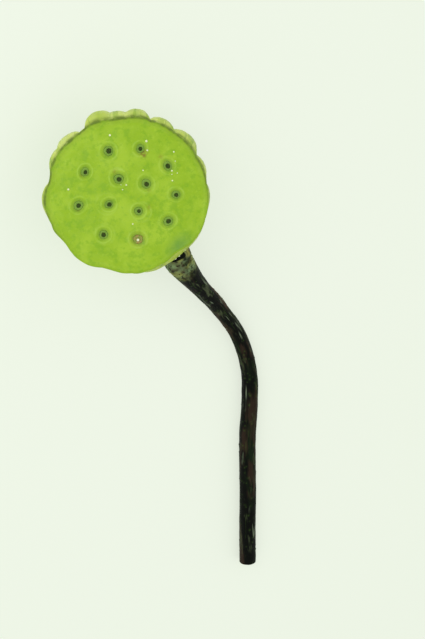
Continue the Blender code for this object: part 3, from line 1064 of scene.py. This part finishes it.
def wall_colour(s, place):
    long_grain = s.along_grain(0.16)
    fine_streak = s.noise(long_grain, 420, 3, 0.6)
    share, neck_side, seam = s.value("share"), s.value("neck_side"), s.value("seam")
    wall = s.mix(s.band(s.noise(long_grain, 90, 3, 0.6), 0.40, 0.62), WALL_MID, WALL_GREEN)
    dark = s.times(s.band(s.noise(s.along_grain(0.09), 190, 3, 0.5, 0.25), 0.49, 0.62),
                   s.band(share, 0.90, 0.50), s.band(neck_side, 0.0, 1.0, 1.0, 0.15))
    wall = s.mix(s.times(dark, s.band(share, 0.02, 0.20, 0.3, 0.85)), wall, WALL_DARK)
    # painted glow: the wall is paler near the rim, where the thin lobes let light through
    painted_lobe_glow = s.times(s.band(share, 0.30, 0.06),
                   s.band(s.noise(long_grain, 60, 2), 0.35, 0.62, 0.3, 1.0),
                   s.band(dark, 1.0, 0.2, 0.45, 1.0), s.band(neck_side, 0.0, 1.0, 1.0, 0.35))
    wall = s.mix(painted_lobe_glow, wall, WALL_LIGHT)
    wall = s.mix(s.band(fine_streak, 0.56, 0.70, 0.0, 0.35), wall, WALL_LIGHT)
    wall = s.mix(s.band(fine_streak, 0.44, 0.30, 0.0, 0.35), wall, WALL_DARK)
    # painted shade darkening the furrows
    furrow = s.times(s.value("furrow"), s.band(share, 0.03, 0.16),
                     s.band(fine_streak, 0.25, 0.60, 0.55, 1.15))
    wall = s.mix(s.band(furrow, 0.10, 0.75, 0.0, 0.85), wall, WALL_DARK)
    wall = s.mix(s.band(furrow, 0.60, 1.05, 0.0, 0.75), wall, FURROW_SHADE)
    ragged = s.maths("ADD", share, s.times(s.noise(place, 500), 0.03))
    buff = s.times(s.band(ragged, 0.965, 1.0, 0.0, 0.8), s.band(seam, 0.2, 0.8, 1.0, 0.25))
    wall = s.mix(buff, wall, NECK_BUFF)
    ragged_edge = s.maths("ADD", share, s.times(s.noise(place, 900, 2), 0.02))
    return s.mix(s.times(seam, s.band(ragged_edge, 0.975, 0.995)), wall, SEAM_DARK)


def flesh_material():
    s = Shader("flesh", Specular_IOR_Level=0.16, Subsurface_Weight=0.12, Subsurface_Scale=0.003,
               Subsurface_Radius=(0.8, 1.0, 0.2))
    place = s.vector("place")
    on_face = s.band(s.value("face_part"), 0.45, 0.70)
    skin = s.mix(on_face, wall_colour(s, place), face_colour(s, place))
    # painted shade along the rim
    uneven = s.band(s.noise(s.vector("grain"), 260), 0.30, 0.6, 0.35, 1.0)
    skin = s.mix(s.times(s.value("rim_line"), uneven), skin, RIM_SHADE_OLIVE)
    normal = s.bump(s.noise(place, 2600, 3, 0.6), 0.00012, 0.35)
    normal = s.bump(s.voronoi(place, 1700), 0.00010, 0.25, normal)
    gloss = s.band(s.noise(place, 500), 0.3, 0.7, 0.34, 0.55)
    return s.plug(Base_Color=skin, Roughness=gloss, Normal=normal)


STIGMA_BLACK = srgb(46, 70, 22)
STIGMA_BROWN = srgb(78, 80, 32)
NUTLET_GREEN = srgb(122, 157, 62)
NUTLET_PALE = srgb(134, 168, 72)
NUTLET_BLUSH = srgb(176, 146, 88)


def nutlet_material():
    s = Shader("nutlet", Specular_IOR_Level=0.10)
    place = s.vector("place")
    blush = s.value("blush")
    colour = s.mix(s.band(s.noise(place, 900), 0.35, 0.65), NUTLET_GREEN, NUTLET_PALE)
    blotches = s.band(s.noise(place, 700), 0.35, 0.60, 0.25, 0.9)
    colour = s.mix(s.times(blush, blotches), colour, NUTLET_BLUSH)
    tip = s.mix(s.band(s.noise(place, 1600, 2), 0.45, 0.7), STIGMA_BLACK, STIGMA_BROWN)
    dark = s.times(s.value("dark"), s.maths("SUBTRACT", 1.0, s.times(blush, 0.75)))
    colour = s.mix(s.band(dark, 0.2, 0.7), colour, tip)
    gloss = s.band(s.noise(place, 1200, 2), 0.3, 0.7, 0.35, 0.6)
    normal = s.bump(s.noise(place, 2500), 0.0001, 0.5)
    return s.plug(Base_Color=colour, Roughness=gloss, Normal=normal)


RIND_BLACK = srgb(5, 6, 4)
RIND_GREEN = srgb(22, 34, 18)
RIND_BROWN = srgb(64, 46, 36)
RIND_GREY = srgb(78, 86, 60)
RIND_SCRATCH = srgb(122, 132, 110)
RIND_EDGE = srgb(74, 104, 40)
COLLAR_GREY = srgb(134, 156, 112)
COLLAR_OLIVE = srgb(146, 148, 80)
CUT_PALE = srgb(170, 178, 110)


def rind_colour(s, grain, patches, streak):
    rind = s.mix(s.band(patches, 0.48, 0.70), RIND_BLACK, RIND_GREEN)
    upper = s.band(s.value("run"), 0.12, 0.04, 0.5, 1.0)
    browns = s.band(s.noise(s.along_grain(0.25), 150), 0.49, 0.63)
    rind = s.mix(s.times(browns, upper), rind, RIND_BROWN)
    greys = s.band(s.noise(s.along_grain(0.22), 260, 4, 0.65), 0.56, 0.67, 0.0, 0.80)
    rind = s.mix(s.times(greys, upper), rind, RIND_GREY)
    rind = s.mix(s.band(streak, 0.60, 0.74, 0.0, 0.34), rind, RIND_EDGE)
    rare = s.band(s.noise(grain, 75, 1), 0.50, 0.64)
    scratch = s.band(s.noise(s.along_grain(0.10), 500, 2, 0.5, 0.6), 0.60, 0.70, 0.0, 0.8)
    rind = s.mix(s.times(rare, scratch), rind, RIND_SCRATCH)
    return s.mix(s.times(s.value("prickle"), 0.5), rind, RIND_EDGE)


def joint_colour(s, grain, rind):
    """The collar's grey stipple, the buff fillet and the dark seam band at the joint, laid over the rind.
    """
    collar = s.mix(s.band(s.noise(grain, 200), 0.40, 0.62), COLLAR_GREY, COLLAR_OLIVE)
    stipple = s.noise(grain, 620, 4, 0.65, 0.4)
    collar = s.mix(s.band(stipple, 0.51, 0.38, 0.0, 0.90), collar, RIND_BLACK)
    patchy = s.band(s.noise(grain, 160), 0.36, 0.60, 0.15, 1.0)
    rind = s.mix(s.times(s.value("collar"), patchy), rind, collar)
    ragged_edge = s.band(s.noise(s.along_grain(0.4), 620), 0.34, 0.58, 0.15, 1.0)
    rind = s.mix(s.times(s.value("fillet"), ragged_edge), rind, NECK_BUFF)
    seam = s.times(s.value("seam"), s.band(s.noise(grain, 380), 0.2, 0.45, 0.6, 1.3))
    return s.mix(s.band(seam, 0.25, 0.75), rind, SEAM_DARK)


def stalk_material():
    s = Shader("stalk", Specular_IOR_Level=0.07, Sheen_Weight=0.12, Sheen_Roughness=0.2,
               Sheen_Tint=srgb(150, 190, 90))
    grain = s.vector("grain")
    patches = s.noise(s.along_grain(0.3), 110)
    streak = s.noise(s.along_grain(0.07), 900, 3, 0.6)
    rind = joint_colour(s, grain, rind_colour(s, grain, patches, streak))
    # pale cut end, with painted shade in its canals
    rind = s.mix(s.value("cut"), rind, CUT_PALE)
    normal = s.bump(s.noise(grain, 1800, 3, 0.6), 0.00025, 0.6)
    normal = s.bump(streak, 0.00020, 0.6, normal)
    gloss = s.band(patches, 0.3, 0.7, 0.42, 0.68)
    return s.plug(Base_Color=rind, Roughness=gloss, Normal=normal)


def dew_material():
    s = Shader("dew", Roughness=0.06, IOR=1.33, Transmission_Weight=0.12,
               Specular_IOR_Level=0.8)
    tone = s.noise(s.node("ShaderNodeTexCoord", "Object"), 300, 1)
    # the drops' near-white colour is a painted highlight: clear water shows as bright glints
    return s.plug(Base_Color=s.mix(tone, srgb(248, 252, 196), srgb(255, 255, 226)))


# ---------------- floor, light and camera

FLOOR_DIFFUSE = (0.30, 0.31, 0.29, 1)
FLOOR_GLOW = srgb(236, 243, 228)


def make_floor():
    mesh = bpy.data.meshes.new("floor")
    reach = 3.0
    mesh.from_pydata([(-reach, -reach, 0), (reach, -reach, 0), (reach, reach, 0),
                      (-reach, reach, 0)], [], [(0, 1, 2, 3)])
    floor = add_object("floor", mesh)
    shader = Shader("floor", Roughness=0.9, Specular_IOR_Level=0.0, Emission_Strength=0.71,
                    Base_Color=FLOOR_DIFFUSE, Emission_Color=FLOOR_GLOW)
    mesh.materials.append(shader.material)


def make_light():
    world = bpy.data.worlds.new("studio")
    world.use_nodes = True
    background = world.node_tree.nodes["Background"]
    background.inputs["Color"].default_value = srgb(240, 246, 236)
    background.inputs["Strength"].default_value = 0.85
    bpy.context.scene.world = world
    lamp = bpy.data.lights.new("softbox", "AREA")
    lamp.shape = "SQUARE"
    lamp.size = 0.7
    lamp.energy = 4.0
    light = add_object("softbox", lamp)
    light.location = (-0.75, 0.55, 0.95)
    aim = Vector((0, 0.05, 0.03)) - light.location
    light.rotation_euler = aim.to_track_quat("-Z", "Y").to_euler()


CAMERA_ELEVATION = math.radians(58.39)
CAMERA_SIDE = Vector((-0.7478, 0.6639))
CAMERA_AIM_MM = (42.03, 9.85)
CAMERA_DISTANCE = 1.2
LENS_TO_FRAME = 2058.3 / 639  # focal length over the picture's long side


def make_camera():
    data = bpy.data.cameras.new("camera")
    data.sensor_width = 36.0
    data.lens = data.sensor_width * LENS_TO_FRAME
    camera = add_object("camera", data)
    level = math.cos(CAMERA_ELEVATION)
    back = Vector((level * CAMERA_SIDE.x, level * CAMERA_SIDE.y, math.sin(CAMERA_ELEVATION)))
    back.normalize()
    aim = Vector((CAMERA_AIM_MM[0] * MM, CAMERA_AIM_MM[1] * MM, 0))
    camera.location = aim + back * CAMERA_DISTANCE
    camera.rotation_mode = "QUATERNION"
    camera.rotation_quaternion = Vector((0, 0, 1)).rotation_difference(back)
    bpy.context.scene.camera = camera


# ---------------- scene

bpy.context.scene.view_settings.view_transform = "Standard"
skin = make_receptacle(flesh_material())
nutlet = nutlet_material()
for number in PITS:
    make_nutlet(number, nutlet)
make_stem(stalk_material())
make_dew(skin, dew_material())
make_floor()
make_light()
make_camera()

bpy.context.view_layer.update()
